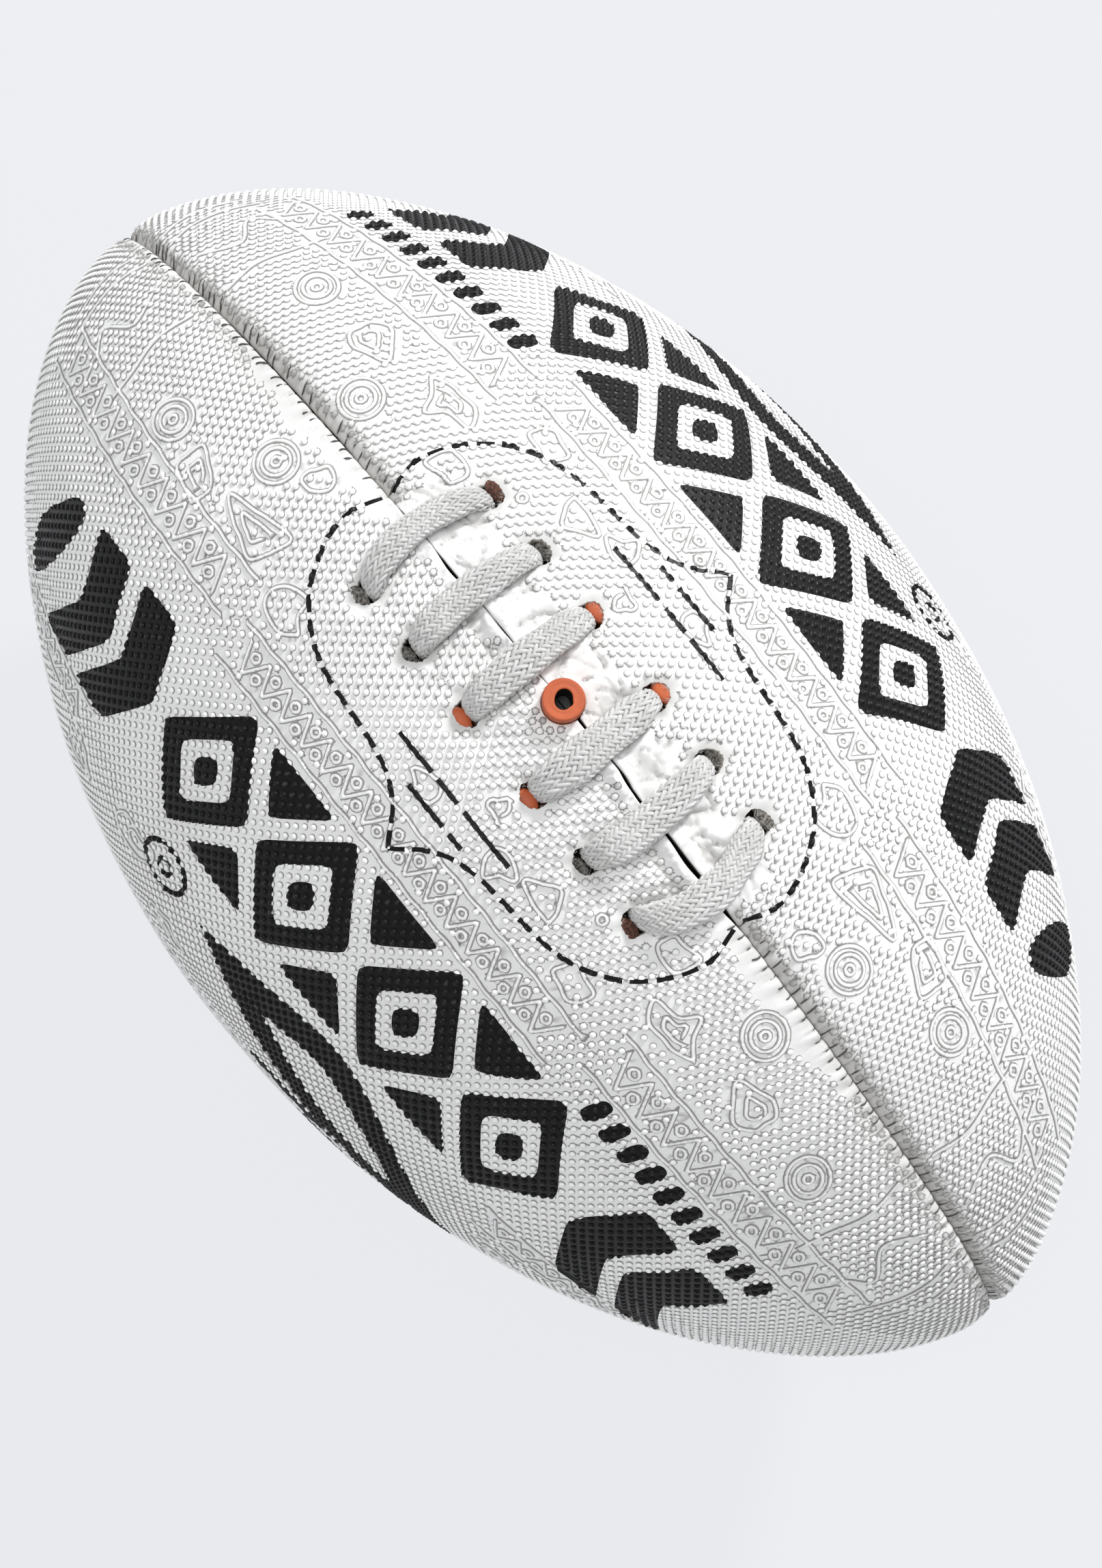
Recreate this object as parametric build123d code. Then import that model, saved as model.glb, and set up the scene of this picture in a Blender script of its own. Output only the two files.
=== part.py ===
"""Australian rules football, size 5: a laced, hand-stitched ball of four gores over an inflatable bladder.

Frame: millimetres, origin at the ball's centre, +X along the long axis, +Z up through the middle of the
lacing. The four seams lie in the XZ and XY planes, so each gore fills one quadrant of Y and Z. A quadrant
part is made once, in the quadrant +Y +Z, and turned or mirrored into its place.
"""

from build123d import *
import math
import os

# Ball outline
HALF_LENGTH = 145.0
MID_RADIUS = 86.0
TIP_FULLNESS = 0.602  # 0.5 would be a plain ellipsoid, and more makes the ends more pointed
TIP_CUT = 0.9985  # share of the half length where the layers end, at the small hole in each tip

# Layers, as depths below the outer surface
COVER = (0.0, 2.0)
PLY_OUTER = (2.05, 2.65)
PLY_INNER = (2.70, 3.30)
LACE_PATCH = (3.35, 4.35)
BLADDER_BULGE = (3.45, 4.45)  # in the middle of a gore
BLADDER_GROOVE = (5.35, 6.35)  # where the hems press into it
HEM = (1.4, 5.2)

# Seams
SEAM_HALF_GAP = 0.1
SEAM_EDGE_RADIUS = 1.2
HEM_THICKNESS = 1.4
PLY_EDGE = 2.7  # how far the plies and patches stay from a seam plane
GROOVE_HALF_WIDTH = 2.9
STITCH_PITCH = 6.0
STITCH_DEPTH = 3.6
STITCH_RADIUS = 0.4
STITCH_HOLE_RADIUS = 0.5
THREAD_WIDTH = 1.0
THREAD_THICKNESS = 0.6
STITCH_TO_AXIS = 14.0  # stitches end this far from the long axis, short of each tip

# Lacing
LACE_HOLE_X = (-37.2, -23.7, -9.1, 9.1, 23.7, 37.2)
LACE_HOLE_ARC = 13.6  # from the seam, along the surface
LACE_HOLE_RADIUS = 2.9
LACE_WIDTH = 6.4
LACE_THICKNESS = 3.0
LACE_LIFT = 0.4  # clear space between a lace bar and the cover
LACE_LEG_ARC = 12.5  # the legs lie against the hole's side nearest the seam
LACE_LEG_RADIUS = 1.7
LACE_INSIDE_WIDTH = 4.4
LACE_INSIDE_THICKNESS = 1.8
LACE_INSIDE_DEPTH = 6.8
KNOT_RADIUS = 3.4
KNOT_THICKNESS = 2.2
KNOT_DEPTH = 5.8
SLIT_HALF_LENGTH = 46.0
SLIT_HALF_GAP = 0.5
PATCH_HALF_LENGTH = 50.0
PATCH_HALF_WIDTH = 30.0

# Valve, on the Z axis
STEM_RADIUS = 3.7
STEM_PROUD = 3.5
STEM_CLEARANCE = 0.2
NEEDLE_BORE_RADIUS = 1.55
NEEDLE_BORE_LENGTH = 7.0
CORE_RADIUS = 2.4
CORE_LENGTH = 6.0
CORE_SLIT = (2.6, 0.2)
FLANGE_RADIUS = 21.0
FLANGE_THICKNESS = 2.4
SEAT_DEPTH = 13.0  # the bladder's flattened top, below the ball's top

OUTLINE_POINTS = 22
FAR = 400.0
STANDING = (Align.CENTER, Align.CENTER, Align.MIN)  # from the placed point upwards
HANGING = (Align.CENTER, Align.CENTER, Align.MAX)  # from the placed point downwards


def outline_point(share, depth):
    """x, radius and the normal's lean to +X, at a share of the half length and a depth below the outline."""
    inside = 1.0 - share * share
    radius = MID_RADIUS * inside**TIP_FULLNESS
    lean = math.atan(2.0 * TIP_FULLNESS * MID_RADIUS * share / HALF_LENGTH * inside ** (TIP_FULLNESS - 1.0))
    return HALF_LENGTH * share - depth * math.sin(lean), radius - depth * math.cos(lean), math.degrees(lean)


def outline(depth):
    """The open outline curve in the XZ plane, from tip to tip, at a depth below the surface."""
    points = []
    for i in range(-OUTLINE_POINTS, OUTLINE_POINTS + 1):
        share = math.sin(math.asin(TIP_CUT) * i / OUTLINE_POINTS)
        x, radius, lean = outline_point(share, depth)
        if radius > 0.5:
            points.append((x, 0.0, radius))
    return Spline(*points)


def band(depths):
    """The flat face in the XZ plane between the outlines at two depths."""
    outer, inner = outline(depths[0]), outline(depths[1])
    return Face(Wire([outer, Line(outer @ 1, inner @ 1), inner, Line(inner @ 0, outer @ 0)]))


def body_inside(depth):
    """The ball's whole body inside the outline at a depth."""
    curve = outline(depth)
    start, end = Vector((curve @ 0).X, 0, 0), Vector((curve @ 1).X, 0, 0)
    face = Face(Wire([Line(start, curve @ 0), curve, Line(curve @ 1, end), Line(end, start)]))
    return revolve(face, Axis.X, 360)


def quadrant(inset):
    """The space of the quadrant +Y +Z, kept off both seam planes by inset."""
    return Pos(0, inset + FAR / 2, inset + FAR / 2) * Box(2 * FAR, FAR, FAR)


def layer_gore(depths, inset):
    """One gore of a layer in the quadrant +Y +Z, as part of a shell of revolution."""
    return revolve(band(depths), Axis.X, 360) & quadrant(inset)


def on_surface(x, arc=0.0, depth=0.0):
    """A frame at x and an arc from the top seam towards +Y, with Z along the outward normal."""
    share = x / HALF_LENGTH
    surface_radius = outline_point(share, 0.0)[1]
    px, radius, lean = outline_point(share, depth)
    return Rot(-math.degrees(arc / surface_radius), 0, 0) * Pos(px, 0, radius) * Rot(0, lean, 0)


def stitch_points():
    """Places (x, z) of the stitches in the XZ seam plane, evenly spaced along the hem."""
    line = outline(STITCH_DEPTH)
    count = int(line.length / STITCH_PITCH)
    points = [line @ (i / count) for i in range(count + 1)]
    return [(p.X, p.Z) for p in points if p.Z > STITCH_TO_AXIS]


def hem():
    """The turned-in hem beside the XZ seam plane in the quadrant +Y +Z, with its stitch holes."""
    slab = Pos(0, SEAM_HALF_GAP, 0) * extrude(band(HEM), HEM_THICKNESS, dir=(0, 1, 0))
    holes = [Pos(x, 0, z) * Rot(90, 0, 0) * Cylinder(STITCH_HOLE_RADIUS, 10) for x, z in stitch_points()]
    return (slab - holes) & quadrant(SEAM_HALF_GAP)


def cover_gore(holes=()):
    """One cover panel in the quadrant +Y +Z: the skin with rounded seam edges, and a hem at each seam."""
    skin = layer_gore(COVER, SEAM_HALF_GAP)
    long_edges = [e for e in skin.edges() if e.length > HALF_LENGTH and (e @ 0.5).length > MID_RADIUS - 0.5]
    skin = fillet(long_edges, SEAM_EDGE_RADIUS) - list(holes)
    top_hem = hem()
    side_hem = Rot(-90, 0, 0) * mirror(top_hem, Plane.XZ)
    return skin + top_hem + side_hem


def lace_holes():
    """Cutters for the lace holes of the +Y side."""
    return [on_surface(x, LACE_HOLE_ARC) * Cylinder(LACE_HOLE_RADIUS, 30) for x in LACE_HOLE_X]


def stem_hole():
    """The cutter for the valve stem's way through the seam."""
    return Pos(0, 0, MID_RADIUS) * Cylinder(STEM_RADIUS + STEM_CLEARANCE, 30)


def slit():
    """The cutter for the unsewn slit under the lacing."""
    return Pos(0, 0, MID_RADIUS) * Box(2 * SLIT_HALF_LENGTH, 2 * SLIT_HALF_GAP, 40)


def lace_patch():
    """The oval reinforcement under the lace holes of the +Y side."""
    half = layer_gore(LACE_PATCH, PLY_EDGE)
    oval = extrude(Ellipse(PATCH_HALF_LENGTH, PATCH_HALF_WIDTH), FAR)
    return (half & oval) - lace_holes() - stem_hole()


def bladder():
    """The bladder: a closed shell, pressed in at the hems and flat under the valve."""
    skins = []
    for side, groove_width in ((0, GROOVE_HALF_WIDTH), (1, GROOVE_HALF_WIDTH + 1.0)):
        bulge = body_inside(BLADDER_BULGE[side])
        width = 2 * groove_width
        bulge = bulge - [Box(2 * FAR, width, FAR), Box(2 * FAR, FAR, width)]
        body = bulge + body_inside(BLADDER_GROOVE[side])
        seat = MID_RADIUS - SEAT_DEPTH - side * (BLADDER_BULGE[1] - BLADDER_BULGE[0])
        skins.append(body - Pos(0, 0, seat + FAR / 2) * Box(FAR, FAR, FAR))
    air_hole = Pos(0, 0, MID_RADIUS - SEAT_DEPTH) * Cylinder(CORE_RADIUS, 10)
    return skins[0] - skins[1] - air_hole


def top_rim(solid):
    """The highest circular edge of a solid."""
    return solid.edges().filter_by(GeomType.CIRCLE).sort_by(Axis.Z)[-1]


def valve_body():
    """The bladder's valve: a round flange on the bladder, and the stem that stands out of the slit."""
    seat = MID_RADIUS - SEAT_DEPTH
    top = MID_RADIUS + STEM_PROUD
    bore_floor = top - NEEDLE_BORE_LENGTH
    flange = Pos(0, 0, seat) * Cylinder(FLANGE_RADIUS, FLANGE_THICKNESS, align=STANDING)
    flange = chamfer(top_rim(flange), FLANGE_THICKNESS - 0.6, 2 * FLANGE_THICKNESS)
    foot = Pos(0, 0, seat + FLANGE_THICKNESS) * Cone(STEM_RADIUS + 1.6, STEM_RADIUS, 1.6, align=STANDING)
    body = flange + foot + Pos(0, 0, seat) * Cylinder(STEM_RADIUS, top - seat, align=STANDING)
    body = fillet(top_rim(body), 0.8)
    bore = Pos(0, 0, bore_floor) * Cylinder(NEEDLE_BORE_RADIUS, NEEDLE_BORE_LENGTH + 1, align=STANDING)
    pocket = Pos(0, 0, bore_floor) * Cylinder(CORE_RADIUS, bore_floor, align=HANGING)
    return body - bore - pocket


def valve_core():
    """The self-sealing rubber plug under the needle bore, slit through for the needle."""
    bore_floor = MID_RADIUS + STEM_PROUD - NEEDLE_BORE_LENGTH
    plug = Pos(0, 0, bore_floor) * Cylinder(CORE_RADIUS, CORE_LENGTH, align=HANGING)
    return plug - Pos(0, 0, bore_floor) * Box(CORE_SLIT[0], CORE_SLIT[1], 40)


def lace_bar(x):
    """One outside bar of the lace with its two legs through the holes, at x."""
    lift = LACE_LIFT + LACE_THICKNESS / 2
    half_angle = math.degrees(LACE_LEG_ARC / on_surface(x).position.Z)
    section = RectangleRounded(LACE_WIDTH, LACE_THICKNESS, LACE_THICKNESS * 0.42)
    section = Rot(-half_angle, 0, 0) * on_surface(x, depth=-lift) * Rot(90, 0, 0) * section
    pieces = [revolve(section, Axis.X, 2 * half_angle)]
    for side in (-1, 1):
        frame = on_surface(x, side * LACE_LEG_ARC, -lift)
        bend = scale(Sphere(LACE_THICKNESS / 2), (LACE_WIDTH / LACE_THICKNESS, 1.3, 1.0))
        leg = Cylinder(LACE_LEG_RADIUS, LACE_INSIDE_DEPTH + lift, align=HANGING)
        pieces += [frame * bend, frame * leg]
    return pieces


def inside_run(x, side, next_x, next_side):
    """The flat stretch of lace inside the ball, from leg to leg; side is +1 towards +Y."""
    start = on_surface(x, side * LACE_LEG_ARC, LACE_INSIDE_DEPTH).position
    step = on_surface(next_x, next_side * LACE_LEG_ARC, LACE_INSIDE_DEPTH).position - start
    up = Vector(0, 0, 1) - step * (step.Z / step.length**2)
    plane = Plane(origin=start + step * 0.5, x_dir=step, z_dir=up)
    return plane * Box(step.length, LACE_INSIDE_WIDTH, LACE_INSIDE_THICKNESS)


def knot(x, side):
    """A flattened stopper knot inside the ball, on the leg at x."""
    disc = Cylinder(KNOT_RADIUS, KNOT_THICKNESS)
    return on_surface(x, side * LACE_LEG_ARC, KNOT_DEPTH) * fillet(disc.edges(), KNOT_THICKNESS * 0.35)


def lace():
    """The whole lace: six bars, the flat runs between them inside, and a stopper knot at each end."""
    pieces = [piece for x in LACE_HOLE_X for piece in lace_bar(x)]
    side = 1  # the first bar runs from its knot at -Y over to +Y
    pieces.append(knot(LACE_HOLE_X[0], -side))
    for x, next_x in zip(LACE_HOLE_X, LACE_HOLE_X[1:]):
        next_side = side if x < 0 < next_x else -side  # the run past the valve stays on its side of the slit
        pieces.append(inside_run(x, side, next_x, next_side))
        side = -next_side
    pieces.append(knot(LACE_HOLE_X[-1], side))
    return pieces[0] + pieces[1:]


def stitches(low, high):
    """The thread of the +Z seam between two x: a run on each side of the hems, and the stitches."""
    rail_band = band((STITCH_DEPTH - THREAD_WIDTH / 2, STITCH_DEPTH + THREAD_WIDTH / 2))
    hem_face = SEAM_HALF_GAP + HEM_THICKNESS
    rail = Pos(0, hem_face, 0) * extrude(rail_band, THREAD_THICKNESS, dir=(0, 1, 0))
    points = [(x, z) for x, z in stitch_points() if low < x < high]
    ends = [x for x, z in points]
    window = Pos((ends[0] + ends[-1]) / 2, 0, FAR / 2) * Box(ends[-1] - ends[0] + 1.0, 20, FAR)
    rails = (rail + mirror(rail, Plane.XZ)) & window
    bar = Rot(90, 0, 0) * Cylinder(STITCH_RADIUS, 2 * hem_face + THREAD_THICKNESS)
    return rails + [Pos(x, 0, z) * bar for x, z in points]


def build():
    """Every node of the ball, by name."""
    outer_ply, inner_ply = layer_gore(PLY_OUTER, PLY_EDGE), layer_gore(PLY_INNER, PLY_EDGE)
    gores = {
        "cover": (cover_gore(), cover_gore(lace_holes()) - stem_hole() - slit()),
        "ply_outer": (outer_ply, outer_ply - lace_holes() - stem_hole()),
        "ply_inner": (inner_ply, inner_ply - lace_holes() - stem_hole()),
    }
    nodes = {}
    for layer, (plain, laced) in gores.items():
        nodes[layer + "_top_left"] = laced
        nodes[layer + "_top_right"] = mirror(laced, Plane.XZ)
        nodes[layer + "_bottom_left"] = mirror(plain, Plane.XY)
        nodes[layer + "_bottom_right"] = Rot(180, 0, 0) * plain
    patch = lace_patch()
    nodes["lace_patch_left"] = patch
    nodes["lace_patch_right"] = mirror(patch, Plane.XZ)
    nodes["bladder"] = bladder()
    nodes["valve_body"] = valve_body()
    nodes["valve_core"] = valve_core()
    nodes["lace"] = lace()
    clear = SLIT_HALF_LENGTH + 1.0
    whole_seam = stitches(-HALF_LENGTH, HALF_LENGTH)
    nodes["stitches_top_front"] = stitches(clear, HALF_LENGTH)
    nodes["stitches_top_rear"] = stitches(-HALF_LENGTH, -clear)
    nodes["stitches_left"] = Rot(-90, 0, 0) * whole_seam
    nodes["stitches_right"] = Rot(90, 0, 0) * whole_seam
    nodes["stitches_bottom"] = Rot(180, 0, 0) * whole_seam
    return nodes


os.makedirs("parts", exist_ok=True)
for name, shape in build().items():
    export_step(shape, f"parts/{name}.step")
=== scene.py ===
"""Looks for the laced football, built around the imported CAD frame.

Lengths are in millimetres in the ball's frame (+X the long axis, +Z the middle of the lacing) and become
metres when a mesh is made. A place on a gore is (s, v): s runs along the meridian from mid-length to +X, and
v runs round the ball from the gore's middle line. Prints and moulded lines are drawn in (x, d), where d is
the distance from the laced seam on the top gores, and from the bottom seam on the bottom ones.
"""

import math

import bpy
import numpy as np
from mathutils import Matrix, Vector
from mathutils.geometry import delaunay_2d_cdt


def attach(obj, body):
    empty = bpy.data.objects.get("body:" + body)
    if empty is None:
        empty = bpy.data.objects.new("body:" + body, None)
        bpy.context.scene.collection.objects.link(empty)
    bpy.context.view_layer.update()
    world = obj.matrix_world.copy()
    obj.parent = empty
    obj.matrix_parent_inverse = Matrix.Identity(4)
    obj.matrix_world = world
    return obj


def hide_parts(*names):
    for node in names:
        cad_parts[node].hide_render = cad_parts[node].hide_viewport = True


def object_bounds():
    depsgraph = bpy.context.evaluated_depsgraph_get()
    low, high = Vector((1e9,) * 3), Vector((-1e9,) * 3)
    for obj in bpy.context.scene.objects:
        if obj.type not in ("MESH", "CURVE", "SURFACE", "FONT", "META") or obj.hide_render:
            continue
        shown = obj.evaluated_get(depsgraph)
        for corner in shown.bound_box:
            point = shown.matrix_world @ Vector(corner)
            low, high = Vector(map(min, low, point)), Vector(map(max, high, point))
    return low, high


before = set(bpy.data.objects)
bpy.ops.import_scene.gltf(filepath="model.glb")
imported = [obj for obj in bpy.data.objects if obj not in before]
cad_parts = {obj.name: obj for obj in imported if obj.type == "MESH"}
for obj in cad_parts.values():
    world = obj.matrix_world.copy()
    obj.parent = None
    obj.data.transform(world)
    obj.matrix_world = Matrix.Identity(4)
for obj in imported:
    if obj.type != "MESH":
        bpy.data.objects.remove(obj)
cad_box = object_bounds()
MM = 0.001
rng = np.random.default_rng(7)

# Ball outline, as in the CAD
HALF_LENGTH, MID_RADIUS, TIP_FULLNESS = 145.0, 86.0, 0.602
TIP_RADIUS = 1.5
HOLE_X = (-37.2, -23.7, -9.1, 9.1, 23.7, 37.2)
HOLE_ARC = 13.6
HOLE_HALF_X, HOLE_HALF_W, HOLE_POINTS = 2.55, 2.75, 44
SLIT_HALF_LENGTH = 46.0
STEM_RADIUS = 3.7
PUCKER_PITCH = 2.4

# Cover
PEBBLE_PITCH, PEBBLE_RADIUS, PEBBLE_HEIGHT = 1.87, 0.69, 0.56
ROW_ANGLE = math.radians(51.0)
SKIN, HEM_DEPTH, HEM_WIDTH = 2.0, 4.6, 1.3
RIDGE_HALF_WIDTH, RIDGE_HEIGHT = 0.44, 0.46
WIDEST = 70  # no point of a gore lies further than this from its middle line


# ---------------------------------------------------------------- the ball's surface

_end_share = 1 - 0.5 * (TIP_RADIUS / MID_RADIUS) ** (1 / TIP_FULLNESS)
_share = np.sin(np.linspace(-1, 1, 6001) * math.asin(_end_share))
X_OF = HALF_LENGTH * _share
R_OF = MID_RADIUS * (1 - _share**2) ** TIP_FULLNESS
S_OF = np.concatenate([[0], np.cumsum(np.hypot(np.diff(X_OF), np.diff(R_OF)))])
S_OF -= S_OF[len(S_OF) // 2]
DX_OF, DR_OF = np.gradient(X_OF, S_OF), np.gradient(R_OF, S_OF)
S_END = S_OF[-1]


def profile(s):
    """x, radius, and their slopes along the meridian, at s."""
    return [np.interp(s, S_OF, table) for table in (X_OF, R_OF, DX_OF, DR_OF)]


def s_at(x):
    return np.interp(x, X_OF, S_OF)


def x_at(s):
    return np.interp(s, S_OF, X_OF)


def radius_at(s):
    return np.interp(s, S_OF, R_OF)


def place(s, angle, height):
    """Points at s and an angle round the ball, raised by height along the outward normal."""
    x, r, dx, dr = profile(s)
    out = r + height * dx
    return np.stack([x - height * dr, out * np.sin(angle), out * np.cos(angle)], axis=-1)


def smooth(t):
    t = np.clip(t, 0, 1)
    return t * t * (3 - 2 * t)


def bell(t):
    return np.exp(-t * t)


def ripple(a, b, seed, scale):
    """Smooth noise of about unit size over the plane, with features about scale wide."""
    local = np.random.default_rng(seed)
    total = np.zeros_like(a)
    for _ in range(9):
        turn = local.uniform(0, 2 * math.pi)
        phase = local.uniform(0, 2 * math.pi)
        size = scale * local.uniform(0.7, 1.6)
        total = total + np.sin((a * math.cos(turn) + b * math.sin(turn)) * 2 * math.pi / size + phase)
    return total / 3.0


def unit(vectors):
    return vectors / np.maximum(np.linalg.norm(vectors, axis=1), 1e-9)[:, None]


def distance_run(line):
    """How far along a line each of its points is."""
    return np.concatenate([[0], np.cumsum(np.linalg.norm(np.diff(line, axis=0), axis=1))])


# ---------------------------------------------------------------- meshes and materials

def add_object(name, mesh, slot, replaces=()):
    ob = bpy.data.objects.new(name, mesh)
    bpy.context.scene.collection.objects.link(ob)
    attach(ob, "root")
    if replaces:
        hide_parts(*replaces)


def mesh_of(name, points, triangles, material, smooth_shade=True, face_data=None, point_data=None,
            level=None):
    """A mesh from points in millimetres and triangles, with named numbers per face or point.

    level marks the points of the ground that small raised detail stands on.
    """
    points, triangles = np.asarray(points, float) * MM, np.asarray(triangles, np.int32)
    mesh = bpy.data.meshes.new(name)
    mesh.vertices.add(len(points))
    mesh.vertices.foreach_set("co", points.ravel())
    mesh.loops.add(triangles.size)
    mesh.loops.foreach_set("vertex_index", triangles.ravel())
    mesh.polygons.add(len(triangles))
    mesh.polygons.foreach_set("loop_start", np.arange(0, triangles.size, 3, dtype=np.int32))
    mesh.polygons.foreach_set("use_smooth", np.full(len(triangles), smooth_shade))
    mesh.update(calc_edges=True)
    for key, values in (face_data or {}).items():
        mesh.attributes.new(key, "FLOAT", "FACE").data.foreach_set("value", np.asarray(values, np.float32))
    for key, values in (point_data or {}).items():
        mesh.attributes.new(key, "FLOAT", "POINT").data.foreach_set("value", np.asarray(values, np.float32))
    mesh.materials.append(material)
    mesh.validate()
    if level is not None:
        crisp_foot(mesh, points, triangles, level)
    return mesh


def crisp_foot(mesh, points, triangles, level):
    """Keeps the level ground's normals where raised detail rises from it, so that its foot stays sharp."""
    normals = np.empty(len(points) * 3, np.float32)
    mesh.vertex_normals.foreach_get("vector", normals)
    normals = normals.reshape(-1, 3)
    flat = triangles[level[triangles].all(axis=1)]
    a, b, c = points[flat[:, 0]], points[flat[:, 1]], points[flat[:, 2]]
    face = np.cross(b - a, c - a)
    total = np.zeros((len(points), 3))
    for corner in range(3):
        np.add.at(total, flat[:, corner], face)
    length = np.linalg.norm(total, axis=1)
    found = length > 0
    normals[found] = total[found] / length[found, None]
    mesh.normals_split_custom_set_from_vertices(normals)


class Batch:
    """Closed meshes gathered into one piece, with named numbers for their points."""

    def __init__(self):
        self.points, self.faces, self.numbers, self.count = [], [], {}, 0

    def add(self, points, faces, **numbers):
        self.points.append(points)
        self.faces.append(faces + self.count)
        self.count += len(points)
        for key, value in numbers.items():
            self.numbers.setdefault(key, []).append(np.broadcast_to(np.asarray(value, float), len(points)))

    def piece(self, name, material, **settings):
        numbers = {key: np.concatenate(values) for key, values in self.numbers.items()}
        points, faces = np.concatenate(self.points), np.concatenate(self.faces)
        add_object(name, mesh_of(name, points, faces, material, point_data=numbers), **settings)


class Nodes:
    """A short way to write a Principled material's node tree."""

    def __init__(self, name, **inputs):
        self.material = bpy.data.materials.new(name)
        self.material.use_nodes = True
        self.tree = self.material.node_tree
        self.shader = self.tree.nodes["Principled BSDF"]
        for key, value in inputs.items():
            self.shader.inputs[key.replace("_", " ")].default_value = value

    def add(self, kind, settings=None, **inputs):
        node = self.tree.nodes.new(kind)
        for key, value in (settings or {}).items():
            setattr(node, key, value)
        for key, value in inputs.items():
            self.put(node, key.replace("_", " "), value)
        return node

    def put(self, node, key, value):
        socket = node.inputs[int(key[1:])] if key[0] == "i" and key[1:].isdigit() else node.inputs[key]
        if isinstance(value, bpy.types.NodeSocket):
            self.tree.links.new(value, socket)
        else:
            socket.default_value = value

    def attribute(self, key):
        return self.add("ShaderNodeAttribute", {"attribute_name": key}).outputs["Fac"]

    def place(self):
        return self.add("ShaderNodeTexCoord").outputs["Object"]

    def noise(self, scale, detail=3.0):
        return self.add("ShaderNodeTexNoise", Scale=scale, Detail=detail, Roughness=0.55,
                        Vector=self.place()).outputs["Fac"]

    def maths(self, operation, a, b=0.0):
        return self.add("ShaderNodeMath", {"operation": operation}, i0=a, i1=b, i2=0.0).outputs[0]

    def times(self, a, b):
        return self.maths("MULTIPLY", a, b)

    def plus(self, a, b):
        return self.maths("ADD", a, b)

    def ramp(self, value, low, high, out_low=0.0, out_high=1.0):
        return self.add("ShaderNodeMapRange", Value=value, From_Min=low, From_Max=high,
                        To_Min=out_low, To_Max=out_high).outputs[0]

    def mix(self, factor, a, b):
        node = self.add("ShaderNodeMix", {"data_type": "RGBA"})
        for index, value in ((0, factor), (6, a), (7, b)):
            self.put(node, f"i{index}", value if not isinstance(value, tuple) else (*value[:3], 1.0))
        return node.outputs[2]

    def bump(self, height, strength, distance):
        return self.add("ShaderNodeBump", Height=height, Strength=strength, Distance=distance).outputs[0]

    def link(self, **values):
        for key, value in values.items():
            self.put(self.shader, key.replace("_", " "), value)
        return self.material


INK, BACKING = (0.0035, 0.0035, 0.004), (0.52, 0.50, 0.46)


def cover_material():
    """Moulded white cover, black where it is printed, with woven backing on its cut edges and inner side. It
    has painted highlight on the pebble tops, and painted shade at their feet and in the panel's dips.
    """
    n = Nodes("cover_white", IOR=1.48, Specular_IOR_Level=0.26)
    ink, raw, relief, raised = [n.attribute(key) for key in ("ink", "raw", "relief", "raised")]
    cloud, fine = n.noise(38.0, 4.0), n.noise(900.0)
    low = n.mix(n.ramp(cloud, 0.35, 0.7), (0.87, 0.87, 0.862), (0.80, 0.80, 0.792))
    # painted highlight: pebble and ridge tops are coloured lighter than the ground between them, so the
    # ground reads as painted shade
    white = n.mix(n.ramp(raised, 0.15, 0.8), low, (0.93, 0.93, 0.925))
    # painted shade: a dark ring at the foot of every pebble and moulded ridge, where shade gathers
    foot = n.times(n.ramp(raised, 0.01, 0.07), n.ramp(raised, 0.25, 0.6, 1.0, 0.0))
    white = n.mix(n.times(foot, 0.85), white, (0.16, 0.157, 0.15))
    # painted shade: darker where the panel dips at the seams, the puckers and round the lace holes
    white = n.mix(n.ramp(relief, -1.1, -0.1, 0.6, 0.0), white, (0.36, 0.35, 0.33))
    worn = n.times(n.ramp(fine, 0.62, 0.78), n.ramp(cloud, 0.45, 0.75, 0.0, 0.5))
    black = n.mix(worn, INK, (0.16, 0.16, 0.16))
    # painted highlight: faint light glints on the pebble tops in the print, broken up by noise
    painted_glints = n.times(n.ramp(raised, 0.72, 0.95), n.ramp(n.noise(520.0, 1.0), 0.52, 0.66, 0.0, 0.07))
    black = n.mix(painted_glints, black, (0.5, 0.5, 0.5))
    fibre = n.mix(n.ramp(n.noise(2600.0, 2.0), 0.35, 0.7), BACKING, (0.2, 0.185, 0.165))
    colour = n.mix(raw, n.mix(ink, white, black), fibre)
    rough = n.plus(n.ramp(fine, 0.3, 0.7, 0.36, 0.5), n.times(raw, 0.4))
    height = n.plus(n.noise(2200.0, 2.0), n.times(n.noise(600.0, 2.0), 0.6))
    return n.link(Base_Color=colour, Roughness=rough, Normal=n.bump(height, 0.35, 0.00012))


# ---------------------------------------------------------------- plane shapes for print and embossing

def rounded(points, times=2):
    """A closed outline with its corners cut off, as many times over as times says."""
    points = np.asarray(points, float)
    for _ in range(times):
        following = np.roll(points, -1, axis=0)
        span = following - points
        step = np.clip(1.2 / np.maximum(np.linalg.norm(span, axis=1), 1e-6), 0, 0.25)[:, None]
        points = np.stack([points + span * step, following - span * step], axis=1).reshape(-1, 2)
    return points


def anticlockwise(points):
    """The same closed outline, run anticlockwise, as the triangulation reads it."""
    x, y = points.T
    area = np.sum(x * np.roll(y, -1) - y * np.roll(x, -1))
    return points if area > 0 else points[::-1]


def closed_line(points, step):
    """The closed outline through points, with a point at least every step."""
    pieces = []
    for a, b in zip(points, np.roll(points, -1, axis=0)):
        count = max(int(math.ceil(np.linalg.norm(b - a) / step)), 1)
        pieces.append(a + (b - a) * (np.arange(count) / count)[:, None])
    return np.concatenate(pieces)


def open_line(points, step):
    """The open line through points, with even spacing of about step."""
    run = distance_run(points)
    at = np.linspace(0, run[-1], max(int(run[-1] / step), 2))
    return np.stack([np.interp(at, run, points[:, i]) for i in (0, 1)], axis=1)


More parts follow.
